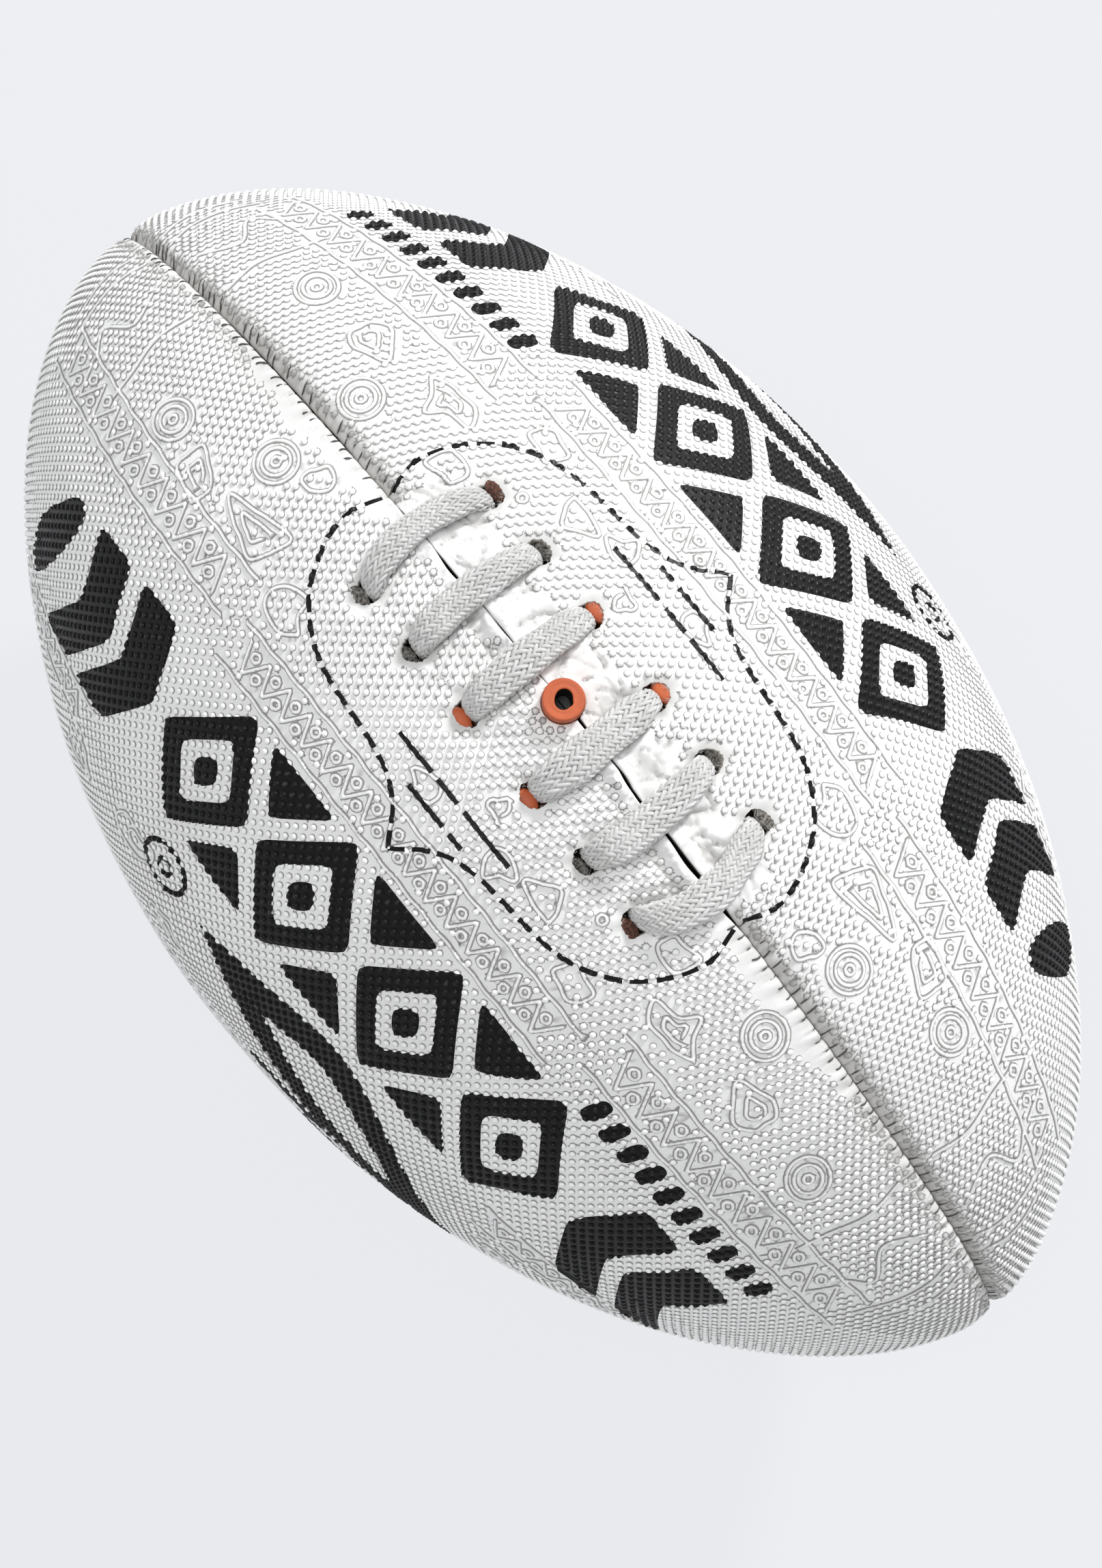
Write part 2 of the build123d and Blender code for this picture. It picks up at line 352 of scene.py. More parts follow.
def curve_through(points, per_span=14):
    """A smooth open curve through points (Catmull-Rom)."""
    p = np.asarray(points, float)
    p = np.concatenate([[2 * p[0] - p[1]], p, [2 * p[-1] - p[-2]]])
    t = np.linspace(0, 1, per_span, endpoint=False)[:, None]
    spans = []
    for a, b, c, d in zip(p, p[1:], p[2:], p[3:]):
        square, cube = (2 * a - 5 * b + 4 * c - d) * t**2, (3 * b - a - 3 * c + d) * t**3
        spans.append(0.5 * (2 * b + (c - a) * t + square + cube))
    return np.concatenate(spans + [p[-2:-1]])


def oval(x, y, rx, ry, count=40):
    t = np.linspace(0, 2 * math.pi, count, endpoint=False)
    return np.stack([x + rx * np.cos(t), y + ry * np.sin(t)], 1)


def diamond(x, d, reach, rise):
    return [(x - reach, d), (x, d - rise), (x + reach, d), (x, d + rise)]


def slanted(x, low, high, width, lean):
    """A slanted bar from d = low to d = high, with its foot at x."""
    return [(x, high), (x + width, high), (x + width + lean, low), (x + lean, low)]


def chevron(x, low, high, reach, width):
    """A chevron whose middle stands reach beyond its ends: towards +x, or -x where reach is below nought."""
    middle = 0.5 * (low + high)
    return [(x, low), (x + width, low), (x + width + reach, middle),
            (x + width, high), (x, high), (x + reach, middle)]


BAND_MIDDLE = 60.5
BAND_END = ((-96, 69), (-98, 58), (-92, 46), (-87, 49), (-88, 62), (-92, 72), (-96, 69))
LEAF = ((-14, 90), (0, 85), (22, 80), (40, 88), (58, 105), (64, 116), (40, 114), (16, 106), (-14, 90))
LEAF_INSIDE = ((6, 92), (22, 88), (38, 96), (46, 106), (26, 102), (6, 92))


def print_shapes():
    """The bold geometric band and small marks of one gore, as closed outlines in (x, d)."""
    # the bold band: nested chevrons at each end, and between them lozenges with triangles in their hollows
    band = [chevron(x, 45, 76, 7, 11) for x in (-83, -67.5)]
    band += [chevron(x, 46, 78, -7, 10.5) for x in (78.5, 93.5)]
    band += [diamond(x, BAND_MIDDLE, part * 13.2, part * 17)
             for x in (-33, -4, 25, 54) for part in (1.0, 0.58, 0.27)]
    band += [[(x - 9, edge), (x + 9, edge), (x, edge + rise)]
             for x in (-18.5, 10.5, 39.5) for edge, rise in ((44.5, 11), (76.5, -11))]
    shapes = [curve_through(BAND_END)[:-1]] + [rounded(outline) for outline in band]
    # the leaf on the flank with its cut-out and two bars, and the ring
    shapes += [curve_through(LEAF)[:-1], curve_through(LEAF_INSIDE)[:-1]]
    shapes += [rounded(slanted(8, 111, 115, 26, 3)), rounded(slanted(22, 118, 121, 30, 3))]
    shapes += [oval(-27, 88, r, r) for r in (6.6, 5.4, 2.4, 1.3)]
    # row of ticks beyond the lacing
    for i in range(10):
        rise = 0.025 * i * i
        shapes.append(rounded(slanted(56 + 5.1 * i, 37.6 - rise, 43.6 - rise, 3.1, 1.6)))
    # fine rules beside the lacing
    for x0, x1, d in ((-14, -5, 24.6), (-3.4, 2, 24.6), (3.8, 16, 24.6), (-6, 3.4, 29.2), (5, 8.4, 29.2)):
        shapes.append(np.array([(x0, d), (x1, d), (x1, d + 0.9), (x0, d + 0.9)], float))
    return shapes


DASH_START, DASH_PITCH, DASH_GAP, DASH_HALF_WIDTH = 0.5, 4.65, 1.25, 0.44
# from the seam round one end of the lacing to the point at mid-length, on the -x side
DASHED_LINE = ((-48.6, 0.6), (-50.2, 8.5), (-46.6, 17.6), (-40.4, 24.2), (-31, 28.4), (-14, 30.4),
               (-6, 33.6), (0, 40.0))


def dashes():
    """The dashed line round the lacing of one gore, as closed outlines in (x, d)."""
    shapes = []
    for sign in (-1, 1):
        line = open_line(curve_through(DASHED_LINE), 0.25) * (sign, 1)
        run = distance_run(line)
        length = run[-1] - DASH_START + DASH_GAP
        count = round(length / DASH_PITCH)
        for start in DASH_START + np.arange(count) * length / count:
            part = line[(run >= start) & (run <= start + DASH_PITCH - DASH_GAP)]
            side = unit(np.gradient(part, axis=0))[:, ::-1] * (-1, 1) * DASH_HALF_WIDTH
            shapes.append(np.concatenate([part + side, (part - side)[::-1]]))
    return shapes


RINGS = ((-67, 11), (33, 18), (66.5, 8), (-88, 20), (92, 17))
# borders: first and last x, d at the middle x, how fast d falls off from there, the middle x, height
BORDERS = ((54, 118, 29, 0.0011, 50, 6.6), (-119, -54, 29, 0.0011, -50, 6.6), (-44, 44, 35.5, 0, 0, 5.8),
           (-96, -60, 79, 0.003, -60, 6.2), (64, 96, 80, 0.003, 64, 6.2), (-50, 50, 117, 0, 0, 7.0))
END_CURVES = (((104, 4), (105, 12), (103, 20), (102, 26)), ((124, 3), (125, 9), (124, 16), (121, 24)),
              ((128, 3), (129, 9), (128, 15), (125, 22)), ((116, 5), (112, 13), (117, 18), (113, 23)))
# uneven rounded outlines: x, d, size
PATCHES = ((-60, 22, 6), (-59, 7.5, 3), (-22, 19.5, 3.6), (7, 20, 5), (14, 26, 3.4), (25, 24, 4),
           (45, 11.5, 4), (56, 20, 5), (76, 17, 5), (-76, 23, 5), (-44, 27, 4), (-34, 92, 6), (-58, 95, 6),
           (70, 96, 6), (-80, 97, 5), (-20, 106, 5), (-4, 27, 3), (38, 29, 3.6))


def closed_again(outline):
    return np.concatenate([outline, outline[:1]])


def border(x0, x1, d_at, size):
    """A moulded border: a zigzag with lozenges in its hollows, between two fine lines."""
    turns = np.arange(x0, x1, size / 2)
    peaks = np.where(np.arange(len(turns)) % 2 == 0, 0.0, 0.95 * size)
    lines = [np.stack([turns, d_at(turns) + peaks], 1)]
    for x, peak in zip(turns[1:-1], peaks[1:-1]):
        hollow = d_at(x) + (0.24 if peak > 0 else 0.71) * size
        lines.append(closed_again(rounded(diamond(x, hollow, 0.2 * size, 0.2 * size), 1)))
    along = np.arange(x0 - 3, x1 + 3, 1.0)
    for away in (-1.7, size * 0.95 + 1.7):
        lines.append(np.stack([along, d_at(along) + away + 0.15 * np.sin(along * 0.9)], 1))
    return lines


def embossed():
    """Raised moulded lines of one gore: open lines in (x, d)."""
    local = np.random.default_rng(11)
    lines = [closed_again(oval(x, d, r, r, 60)) for x, d in RINGS for r in (4.2, 2.7, 0.9)]
    for x0, x1, d, fall, middle, size in BORDERS:
        lines += border(x0, x1, lambda x: d - fall * (x - middle) ** 2, size)
    lines += [curve_through(np.array(curve) * (end, 1)) for end in (-1, 1) for curve in END_CURVES]
    for x, d, size in PATCHES:
        turns = np.linspace(0, 2 * math.pi, 9)[:-1] + local.uniform(0, 1)
        radii = size * local.uniform(0.45, 1.15, 8)
        outline = np.stack([x + radii * np.cos(turns) * 1.25, d + radii * np.sin(turns)], 1)
        lines.append(curve_through(closed_again(outline)))
        if size > 4.5:
            lines.append(curve_through((outline - (x, d)) * 0.45 + (x, d)))
    return lines


# ---------------------------------------------------------------- gores

class Raster:
    """Heights of the embossed lines on a fine grid over a gore, and where pebbles give way to them."""
    CELL, MARGIN = 0.15, 20
    CLEAR, FOOT = 0.82, RIDGE_HALF_WIDTH + 0.06

    def __init__(self, points):
        self.size = [int(2 * half / self.CELL) + 2 * self.MARGIN for half in (S_END, WIDEST)]
        self.height = np.zeros(self.size, np.float32)
        self.near = np.zeros(self.size, bool)
        i, j = self.index(points[:, 0], points[:, 1])
        steps = range(-7, 8)
        for di, dj in ((di, dj) for di in steps for dj in steps):
            away = math.hypot(di, dj) * self.CELL
            if away < self.CLEAR:
                self.near[i + di, j + dj] = True
            if away < self.FOOT:
                lift = RIDGE_HEIGHT * (0.5 + 0.5 * math.cos(math.pi * away / self.FOOT))
                np.maximum.at(self.height, (i + di, j + dj), lift)

    def index(self, s, v):
        return tuple(np.clip(((at + half) / self.CELL).astype(int) + self.MARGIN, 8, count - 9)
                     for at, half, count in ((s, S_END, self.size[0]), (v, WIDEST, self.size[1])))


# rows of points along a seam: the share of the rolled edge crossed, and the distance beyond it
SEAM_ROWS = ((0.2, 0), (0.45, 0), (0.72, 0), (1, 0), (1, 0.5), (1, 1.1), (1, 1.8), (1, 2.7))


def triangulate(points, loops):
    """Flat triangles within outlines that come first among points.

    Returns the points, each triangle with the outlines that hold it, and where each point given went.
    """
    faces, edges, at = [], [], 0
    for loop in loops:
        ids = list(range(at, at + len(loop)))
        faces.append(ids)
        edges += list(zip(ids, ids[1:] + ids[:1]))
        at += len(loop)
    result = delaunay_2d_cdt([Vector(p) for p in points.tolist()], edges, faces, 0, 1e-5)
    went_to = {source: index for index, sources in enumerate(result[3]) for source in sources}
    return np.array([tuple(p) for p in result[0]]), list(zip(result[2], result[5])), went_to


def grid_of(s_values, v_values):
    return np.stack(np.meshgrid(s_values, v_values, indexing="ij"), -1).reshape(-1, 2)


class Gore:
    """One cover panel, cut flat in (s, v) and laid on the ball."""

    def __init__(self, name, middle, laced_low, laced):
        self.name, self.middle, self.laced_low, self.laced = name, math.radians(middle), laced_low, laced
        self.side = 1.0 if middle > 0 else -1.0

    def half(self, s):
        return radius_at(s) * math.pi / 4

    def edge_gap(self, s, at_laced_seam):
        """How far the edge stays from the seam plane: below nought where the seam wanders past that plane."""
        gap = np.full_like(s, 0.02)
        if at_laced_seam and self.laced:
            x = x_at(s)
            open_part = smooth((SLIT_HALF_LENGTH + 1.0 - np.abs(x)) / 5)
            gap += open_part * 0.04 * ripple(x, 0 * x, 31, 11.0)
            if self.side > 0:
                gap -= 0.4 * smooth((np.abs(x) - SLIT_HALF_LENGTH + 4) / 3)
            gap += 0.32 * bell((x - 17.0) / 2.8) + 0.12 * bell((x + 16) / 2.6)
            wander = -1.1 * smooth((x - 24) / 12) * smooth((52 - x) / 10) - 0.5 * bell((x - 17) / 6)
            wander = wander + open_part * 0.45 * ripple(x, 0 * x, 37, 15.0)
            wander = wander + 0.8 * (smooth((-x - 50) / 14) - smooth((-x - 96) / 20))
            gap = gap + self.side * wander
            gap = np.maximum(gap, np.sqrt(np.maximum((STEM_RADIUS + 0.12) ** 2 - x**2, 0)))
        return gap

    def roll(self, s, at_laced_seam):
        """The radius that this gore's edge is rolled over by."""
        radius = np.full_like(s, 0.9)
        if at_laced_seam and self.laced:
            x = x_at(s)
            radius = 0.3 + 0.6 * smooth((np.abs(x) - SLIT_HALF_LENGTH + 1) / 5)
        return np.minimum(radius, 0.6 * self.half(s))

    def gaps(self, s):
        """Gaps at the low-angle and the high-angle edge."""
        return self.edge_gap(s, self.laced_low), self.edge_gap(s, not self.laced_low)

    def rolls(self, s):
        return self.roll(s, self.laced_low), self.roll(s, not self.laced_low)

    def from_edges(self, s, v):
        """How far points lie from the low-angle and from the high-angle edge."""
        half = self.half(s)
        low, high = self.gaps(s)
        return v + half - low, half - v - high

    def outline(self, s, low, high):
        """The panel's outline, low and high inside its seam planes."""
        half = self.half(s)
        return np.concatenate([np.stack([s, -half + low], 1), np.stack([s, half - high], 1)[::-1]])

    def from_d(self, s, d):
        """v at a distance d from the laced seam's plane (the top or the bottom seam)."""
        return -self.half(s) + d if self.laced_low else self.half(s) - d

    def d_of(self, s, v):
        return v + self.half(s) if self.laced_low else self.half(s) - v

    def flatten(self, outline):
        """A shape in (x, d) as points in (s, v). On the -Y side it reads the other way round."""
        s = s_at(outline[:, 0] * (-1.0 if self.side > 0 else 1.0))
        return np.stack([s, self.from_d(s, outline[:, 1])], 1)

    def clamp(self, points, margin):
        """Points kept inside the gore by a margin."""
        s = np.clip(points[:, 0], -S_END + 6, S_END - 6)
        half = self.half(s)
        low, high = self.gaps(s)
        roll_low, roll_high = self.rolls(s)
        v_low, v_high = -half + low + roll_low * 0.5 + margin, half - high - roll_high * 0.5 - margin
        return np.stack([s, np.clip(points[:, 1], v_low, v_high)], 1)

    def hole_centres(self):
        return [(s_at(x), self.from_d(s_at(x), HOLE_ARC)) for x in HOLE_X] if self.laced else []

    def crumple(self, s, v):
        """How far the cover is creased rather than pebbled: most beside the slit, on its +Y side."""
        reach = 11.5 if self.side > 0 else 3.5
        x, d = x_at(s), self.d_of(s, v)
        beside_slit = smooth((reach - d + 1.2 * ripple(s, v, 71, 8.0)) / 2.5)
        return smooth((SLIT_HALF_LENGTH + 2 - np.abs(x)) / 4) * beside_slit

    def relief(self, s, v):
        """The broad shape of the panel: dips at seams, puckers, and the pull of the lacing."""
        x = x_at(s)
        side = int(self.side)
        out = 0.12 * ripple(s, v, 3, 46.0)
        for q, laced_seam in zip(self.from_edges(s, v), (self.laced_low, not self.laced_low)):
            q = np.maximum(q, 0)
            sewn = np.ones_like(s)
            if laced_seam and self.laced:
                sewn = smooth((np.abs(x) - SLIT_HALF_LENGTH + 2) / 6)
                lip = smooth((SLIT_HALF_LENGTH - np.abs(x)) / 5) * smooth((np.abs(x) - 5) / 4)
                curl = np.maximum(0.5 + 0.7 * ripple(x, 0 * x, 41, 12.0), 0)
                out = out + lip * curl * bell((q - 0.9) / 1.5)
                out = out - lip * 0.5 * bell((q - 3.6) / 1.6) * np.minimum(curl, 1)
            lower = self.side > 0 and laced_seam and self.laced
            beat = (s + 0.5 * ripple(s, 0 * s, 5 + side, 21.0) + 0.9 * self.side) / PUCKER_PITCH
            crease = np.abs(np.sin(math.pi * (beat + 0.10 * q)))
            uneven = 0.65 + 0.35 * ripple(s, 0 * s, 9 + side, 7.0)
            depth = (1 - crease) ** 3 * uneven * np.exp(-((q / (2.6 if lower else 2.0)) ** 2))
            valley = 0.3 * np.exp(-q / 1.5)
            if lower:
                valley = (1.35 + 0.6 * smooth((np.abs(x) - 88) / 20)) * bell(q / 1.9)
            out = out - sewn * (0.4 * bell(q / 6.5) + valley + 1.25 * depth)
            fold = ripple(s + 0.15 * q, q * 0.2, 13 + side, 2.7)
            out = out + sewn * 0.24 * fold * bell((q - 1.2) / 2.4)
        if self.laced:
            d = self.d_of(s, v)
            crease = np.clip(1 - np.abs(ripple(s, v, 51 + side, 9.0)), 0, 1) ** 7
            crease = crease + 0.7 * np.clip(1 - np.abs(ripple(s, v, 61 + side, 5.0)), 0, 1) ** 7
            swell = 0.3 * ripple(s, v, 81 + side, 7.0) - 0.85 * crease
            out = out + self.crumple(s, v) * swell * smooth((d - self.edge_gap(s, True)) / 1.6)
            near = smooth((56 - np.abs(x)) / 16) * smooth((26 - d) / 12)
            out = out + near * 0.16 * ripple(s, v, 17 + side, 9.0)
            out = out + near * 0.3 * (np.abs(ripple(s, v * 0.5, 23 + side, 5.0)) - 0.5) * bell((d - 8) / 6)
            for hx in HOLE_X:
                hs = s_at(hx)
                away = np.hypot(s - hs, (d - HOLE_ARC) * 0.85)
                turn = np.arctan2(d - HOLE_ARC, s - hs)
                out = out - 0.85 * bell(np.maximum(away - 1.7, 0) / 2.0)
                out = out - 0.16 * np.cos(7 * turn + hx) * np.exp(-np.abs(away - 4.0) / 1.8)
                out = out - 0.35 * bell((s - hs) / 3.4) * smooth((HOLE_ARC + 1 - d) / 3) * smooth((d - 1) / 4)
        return out

    def lay(self, s, v, height):
        """Points of the panel on the ball; heights are above the panel's broad shape."""
        shift, drop = np.zeros_like(s), np.zeros_like(s)
        for q, roll, sign in zip(self.from_edges(s, v), self.rolls(s), (1, -1)):
            turn = np.clip(1 - q / roll, 0, 1) * math.pi / 2
            bent = q < roll
            shift += np.where(bent, sign * (roll - roll * np.sin(turn) - q), 0)
            drop += np.where(bent, roll * (1 - np.cos(turn)), 0)
        radius = radius_at(s)
        return place(s, self.middle + (v + shift) / radius, height - drop + self.relief(s, v))

    def pebbles(self, raster):
        """Centres of the pebbles as a grid, and which of them are there."""
        a = PEBBLE_PITCH * np.array([math.cos(ROW_ANGLE), math.sin(ROW_ANGLE)])
        b = PEBBLE_PITCH * np.array([math.sin(ROW_ANGLE), -math.cos(ROW_ANGLE)]) - 0.25 * a
        self.basis = np.linalg.inv(np.stack([a, b], 1))
        reach = int((S_END + WIDEST) / PEBBLE_PITCH * 1.2)
        i, j = np.meshgrid(np.arange(-reach, reach + 1), np.arange(-reach, reach + 1), indexing="ij")
        self.reach = reach
        u = a[0] * i + b[0] * j
        v = a[1] * i + b[1] * j
        s = u.copy()
        for _ in range(5):
            _, r, _, dr = profile(np.clip(s, -S_END, S_END))
            s = u + v * v * dr / (2 * r)
        inside = np.abs(s) < S_END - 4
        s = np.clip(s, -S_END, S_END)
        q = np.minimum(*[q - roll for q, roll in zip(self.from_edges(s, v), self.rolls(s))])
        inside &= q > 0.2
        inside &= ~raster.near[raster.index(s, v)]
        for hs, hv in self.hole_centres():
            inside &= np.hypot(s - hs, (v - hv) * 0.85) > 3.6
        if self.laced:
            inside &= self.crumple(s, v) < 0.5
            x = np.abs(x_at(s))
            strip = (4.3 if self.side < 0 else 1.2) * smooth((x - 44) / 4) * smooth((98 - x) / 26)
            from_seam = self.d_of(s, v) - self.edge_gap(s, True)
            inside &= from_seam > strip + 0.6 * ripple(s, v, 91, 9.0)
        self.pebble_s, self.pebble_v, self.there = s, v, inside
        uneven = 1 + 0.06 * np.random.default_rng(5).standard_normal(s.shape)
        self.size = (0.4 + 0.6 * smooth(q / 4.0)) * uneven

    def pebble_height(self, s, v):
        """Height of the pebbled surface at points, from the nearest pebble."""
        _, r, _, dr = profile(s)
        u = s - v * v * dr / (2 * r)
        cell = np.stack([u, v], -1) @ self.basis.T
        base = np.floor(cell).astype(int)
        best = np.zeros_like(s)
        for di in (0, 1):
            for dj in (0, 1):
                i = np.clip(base[:, 0] + di + self.reach, 0, 2 * self.reach)
                j = np.clip(base[:, 1] + dj + self.reach, 0, 2 * self.reach)
                ds = s - self.pebble_s[i, j]
                dv = (v - self.pebble_v[i, j]) - self.pebble_v[i, j] * dr / r * ds
                t = 1 - ((ds * ds + dv * dv) / PEBBLE_RADIUS**2) ** 2
                lift = np.where(self.there[i, j] & (t > 0), PEBBLE_HEIGHT * self.size[i, j] * t, 0)
                best = np.maximum(best, lift)
        return best

    def thread_shade_ticks(self):
        """Short stitches at the seam puckers, where the panel is drawn down, in a dark thread that stands for
        painted shade in the creases: a line of points for each.
        """
        local = np.random.default_rng(200 + int(math.degrees(self.middle)))
        ticks = []
        for low_edge in (True, False):
            laced_seam = low_edge == self.laced_low
            for beat in np.arange(math.ceil((-S_END + 8) / PUCKER_PITCH), (S_END - 8) / PUCKER_PITCH):
                s0 = (beat - 0.9 * self.side / PUCKER_PITCH) * PUCKER_PITCH
                s0 = s0 - 0.5 * float(ripple(np.array([s0]), np.zeros(1), 5 + int(self.side), 21.0)[0])
                at_slit = self.laced and laced_seam and abs(x_at(s0)) < SLIT_HALF_LENGTH + 2
                if at_slit or abs(s0) > S_END - 8 or local.uniform() < 0.12:
                    continue
                in_valley = self.laced and laced_seam and self.side > 0
                q = np.linspace(0.1, local.uniform(1.7, 3.0) if in_valley else local.uniform(0.9, 1.9), 5)
                s = np.full(5, s0) + (local.uniform(-0.25, 0.05) - 0.1 * PUCKER_PITCH) * q
                gap = self.edge_gap(s, laced_seam)
                v = -self.half(s) + gap + q if low_edge else self.half(s) - gap - q
                rise = np.array([0.04, 0.16, 0.2, 0.12, -0.14])
                ticks.append(self.lay(s, v, rise))
        return ticks

    def build(self, material, prints, lines):
        s_edge = np.linspace(-S_END, S_END, 860)
        if self.laced:
            s_edge = np.unique(np.concatenate([s_edge, np.linspace(-4.2, 4.2, 29)]))
        gaps = self.gaps(s_edge)
        boundary = self.outline(s_edge, *gaps)
        most = 0.6 * self.half(s_edge)
        inner_edge = self.outline(s_edge, *[np.minimum(gap + HEM_WIDTH + 0.1, most) for gap in gaps])

        holes = []
        for k, (hs, hv) in enumerate(self.hole_centres()):
            turn = np.linspace(0, 2 * math.pi, HOLE_POINTS, endpoint=False)
            local = np.random.default_rng(100 + k + int(self.side))
            ragged = 1 + 0.05 * np.sin(3 * turn + k) + 0.035 * local.standard_normal(HOLE_POINTS)
            around_s, around_v = HOLE_HALF_X * ragged * np.cos(turn), HOLE_HALF_W * ragged * np.sin(turn)
            holes.append(np.stack([hs + around_s, hv + around_v], 1))

        flat_lines = [self.clamp(open_line(self.flatten(line), 0.55), 1.3) for line in lines]
        flat_lines = [line for line in flat_lines if not self.near_hole(line)]
        raster = Raster(np.concatenate([open_line(line, 0.12) for line in flat_lines]))
        self.raster = raster
        self.pebbles(raster)

        inks = [anticlockwise(self.clamp(closed_line(self.flatten(shape), 0.45), 0.3)) for shape in prints]
        loops = [boundary, *holes, *inks]
        points = np.concatenate(loops + self.loose_points(flat_lines, s_edge))
        out, held, self.output_of = triangulate(points, loops)
        kept = [(face[:3], sum(o > len(holes) for o in owners) % 2) for face, owners in held
                if 0 in owners and not any(1 <= o <= len(holes) for o in owners)]
        triangles = np.array([face for face, _ in kept], np.int32)
        inside = np.array([ink for _, ink in kept], np.float32)
        s, v = out[:, 0], out[:, 1]
        lift = np.maximum(self.pebble_height(s, v), raster.height[raster.index(s, v)])
        outer = self.lay(s, v, lift)
        raised = np.clip(lift / PEBBLE_HEIGHT, 0, 1)
        self.close(outer, self.relief(s, v), raised, triangles, inside, boundary, inner_edge, holes, material)

    def near_hole(self, line):
        return any(np.hypot(line[:, 0] - hs, line[:, 1] - hv).min() < 3.8 for hs, hv in self.hole_centres())

    def loose_points(self, flat_lines, s_edge):
        """Points off the outlines: pebbles, embossed lines, rows along the seams and round the holes."""
        parts = []
        for line in flat_lines:
            side = unit(np.gradient(line, axis=0))[:, ::-1] * (-1, 1) * (RIDGE_HALF_WIDTH + 0.08)
            parts += [line, line + side, line - side]
        s, half = s_edge[1:-1], self.half(s_edge[1:-1])
        low, high = self.gaps(s)
        roll_low, roll_high = self.rolls(s)
        for share, further in SEAM_ROWS:
            parts.append(np.stack([s, -half + low + share * roll_low + further], 1))
            parts.append(np.stack([s, half - high - share * roll_high - further], 1))
        for hs, hv in self.hole_centres():
            for wide in (1.12, 1.3, 1.5):
                parts.append(oval(hs, hv, HOLE_HALF_X * wide + 0.1, HOLE_HALF_W * wide + 0.1, HOLE_POINTS))
        if self.laced:
            fine = grid_of(np.arange(-50, 50, 0.45), np.arange(0, 16, 0.45))
            fine = fine + rng.uniform(-0.1, 0.1, fine.shape)
            fine = np.stack([s_at(fine[:, 0]), self.from_d(s_at(fine[:, 0]), fine[:, 1])], 1)
            parts.append(fine[self.crumple(fine[:, 0], fine[:, 1]) > 0.02])
        coarse = grid_of(np.arange(-S_END, S_END, 2.0), np.arange(-WIDEST, WIDEST, 2.0))
        parts.append(coarse[self.raster.near[self.raster.index(coarse[:, 0], coarse[:, 1])]])

        s0, v0 = self.pebble_s[self.there], self.pebble_v[self.there]
        _, r, _, dr = profile(s0)
        rings = ((0.0, 1, 0.0), (PEBBLE_RADIUS * 1.002, 8, 0.0))
        rings += ((PEBBLE_RADIUS * 0.74, 8, 0.39),)
        for radius, number, phase in rings:
            for k in range(number):
                ds = radius * math.cos(2 * math.pi * k / number + phase)
                dv = radius * math.sin(2 * math.pi * k / number + phase)
                parts.append(np.stack([s0 + ds, v0 + dv + v0 * dr / r * ds], 1))
        kept = []
        for part in parts:
            s, v = part[:, 0], part[:, 1]
            q_low, q_high = self.from_edges(np.clip(s, -S_END, S_END), v)
            ok = (np.abs(s) < S_END - 0.1) & (q_low > 0.04) & (q_high > 0.04)
            for hs, hv in self.hole_centres():
                ok &= np.hypot((s - hs) / HOLE_HALF_X, (v - hv) / HOLE_HALF_W) > 1.1
            kept.append(part[ok])
        return kept

    def close(self, outer, relief, raised, triangles, inside, boundary, inner_edge, holes, material):
        """The closed panel: the outer skin, the hems and hole walls, and a plain inner skin."""
        count, rim_count = len(outer), len(boundary)
        s = inner_edge[:, 0]
        hems = [place(s, self.middle + v / radius_at(s), np.full_like(s, -HEM_DEPTH))
                for v in (boundary[:, 1], inner_edge[:, 1])]
        grid = grid_of(np.arange(-S_END + 9, S_END - 8, 6.0), np.arange(-66, 67, 6.0))
        grid = grid[np.abs(grid[:, 1]) < self.half(grid[:, 0]) - 4]
        for hs, hv in self.hole_centres():
            grid = grid[np.hypot(grid[:, 0] - hs, grid[:, 1] - hv) > 3.6]
        loops = [inner_edge, *holes]
        flat, held, inner_of = triangulate(np.concatenate(loops + [grid]), loops)
        inner_faces = [face[::-1] for face, owners in held if 0 in owners and not any(o >= 1 for o in owners)]
        depth = np.minimum(self.relief(flat[:, 0], flat[:, 1]), 0) * 0.5 - SKIN
        inner = place(flat[:, 0], self.middle + flat[:, 1] / radius_at(flat[:, 0]), depth)
        base_inner = count + 2 * rim_count
        walls = []

        def strip(first, second):
            for a, b, c, d in zip(first, first[1:] + first[:1], second, second[1:] + second[:1]):
                walls.extend([(a, c, b), (b, c, d)])

        hem_a, hem_b = [list(range(at, at + rim_count)) for at in (count, count + rim_count)]
        strip([self.output_of[k] for k in range(rim_count)], hem_a)
        strip(hem_a, hem_b)
        strip(hem_b, [base_inner + inner_of[k] for k in range(rim_count)])
        at = rim_count
        for hole in holes:
            ids = range(at, at + len(hole))
            strip([base_inner + inner_of[k] for k in ids], [self.output_of[k] for k in ids])
            at += len(hole)
        inner_faces = np.array(inner_faces, np.int32) + base_inner
        faces = np.concatenate([triangles, np.array(walls, np.int32), inner_faces])
        total = np.concatenate([outer, *hems, inner])
        more_faces, more_points = len(faces) - len(triangles), len(total) - count
        mesh = mesh_of(
            self.name, total, faces, material,
            face_data={"ink": np.concatenate([inside, np.zeros(more_faces)]),
                       "raw": np.concatenate([np.zeros(len(triangles)), np.ones(more_faces)])},
            point_data={"relief": np.concatenate([relief, np.full(more_points, -0.4)]),
                        "raised": np.concatenate([raised, np.zeros(more_points)])},
            level=np.concatenate([raised < 0.03, np.zeros(more_points, bool)]))
        add_object(self.name, mesh, replaces=[self.name.replace("panel", "cover")], slot="cover")


# the panels: name, angle of the middle line, whether d starts from the low-angle edge, whether laced
GORES = (("panel_top_left", 45, True, True), ("panel_top_right", -45, False, True),
         ("panel_bottom_left", 135, False, False), ("panel_bottom_right", -135, True, False))
SHADE_THREAD_RADIUS = 0.17
